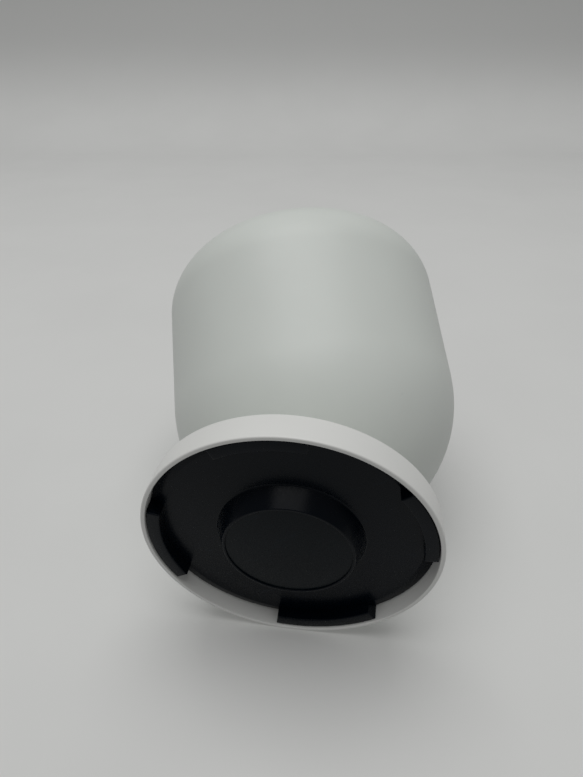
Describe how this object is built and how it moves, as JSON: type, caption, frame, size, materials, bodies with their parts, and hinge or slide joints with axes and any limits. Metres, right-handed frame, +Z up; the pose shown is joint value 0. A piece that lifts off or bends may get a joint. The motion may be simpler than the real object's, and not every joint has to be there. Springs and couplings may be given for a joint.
{
  "type": "mesh wifi node",
  "caption": "White drum-shaped mesh wifi node with a ball end, which turns and leans on a low round magnetic foot with a dished black underside.",
  "frame": {"origin": "middle of the pad in the boss under the foot, on the surface that the foot stands on", "axes": "+Z up along the foot's axis, the drum leans towards +Y, its ports are on the -Y side, +X along the lean hinge"},
  "size_m": [0.104, 0.1204, 0.1404],
  "materials": {
    "white_drum": "finely frosted moulding",
    "pocket_white": "satin moulding",
    "white_ring": "satin moulding",
    "black_plastic": "satin moulding",
    "black_pad": "fine matt",
    "plain_steel": "plain",
    "screw_steel": "zinc plated",
    "grey_plastic": "satin moulding",
    "liner_rubber": "fine matt",
    "nickel": "nickel plated",
    "lens": "frosted",
    "board_green": "solder mask",
    "brass_sheet": "stamped",
    "can_steel": "tin plated",
    "thermal_pad": "soft",
    "sink_aluminium": "extruded",
    "jack_steel": "nickel plated",
    "button_grey": "satin moulding"
  },
  "bodies": {
    "foot": {"foot_shell": "white_ring", "foot_plate": "black_plastic", "boss_pad": "black_pad", "foot_weight": "plain_steel", "pivot_post": "plain_steel", "plate_screws": "screw_steel", "thrust_washer": "grey_plastic", "pivot_washer": "plain_steel", "pivot_screw": "screw_steel"},
    "saddle": {"saddle": "grey_plastic", "saddle_liner": "liner_rubber", "magnet_ring": "nickel", "back_iron": "plain_steel"},
    "drum": {"antenna_frame": "grey_plastic", "antennas": "brass_sheet", "base_tray": "grey_plastic", "board_screws": "screw_steel", "body_shell": "white_drum", "ethernet_jacks": "jack_steel", "heatsink": "sink_aluminium", "keeper_bowl": "plain_steel", "led_board": "board_green", "main_board": "board_green", "port_pocket": "pocket_white", "power_board": "board_green", "power_jack": "jack_steel", "radio_board": "board_green", "radio_cans": "can_steel", "radio_screws": "screw_steel", "reset_switch": "black_plastic", "shield_cans": "can_steel", "standoffs": "brass_sheet", "status_lens": "lens", "thermal_pads": "thermal_pad", "top_cap": "white_drum", "tray_screws": "screw_steel"},
    "button": {"reset_button": "button_grey"}
  },
  "joints": [
    {"name": "turn", "type": "hinge", "parent": "foot", "child": "saddle", "pos_m": [0, 0, 0.012], "axis": [0, 0, 1], "continuous": true},
    {"name": "lean", "type": "hinge", "parent": "saddle", "child": "drum", "pos_m": [0, 0, 0.0684], "axis": [-1, 0, 0], "range_deg": [-68, 4]},
    {"name": "reset_push", "type": "slide", "parent": "drum", "child": "button", "axis": [0, 0.848, -0.5299], "range_m": [0, 0.0008], "stiffness_N_per_m": 1200, "springref_m": -0.0003}
  ]
}
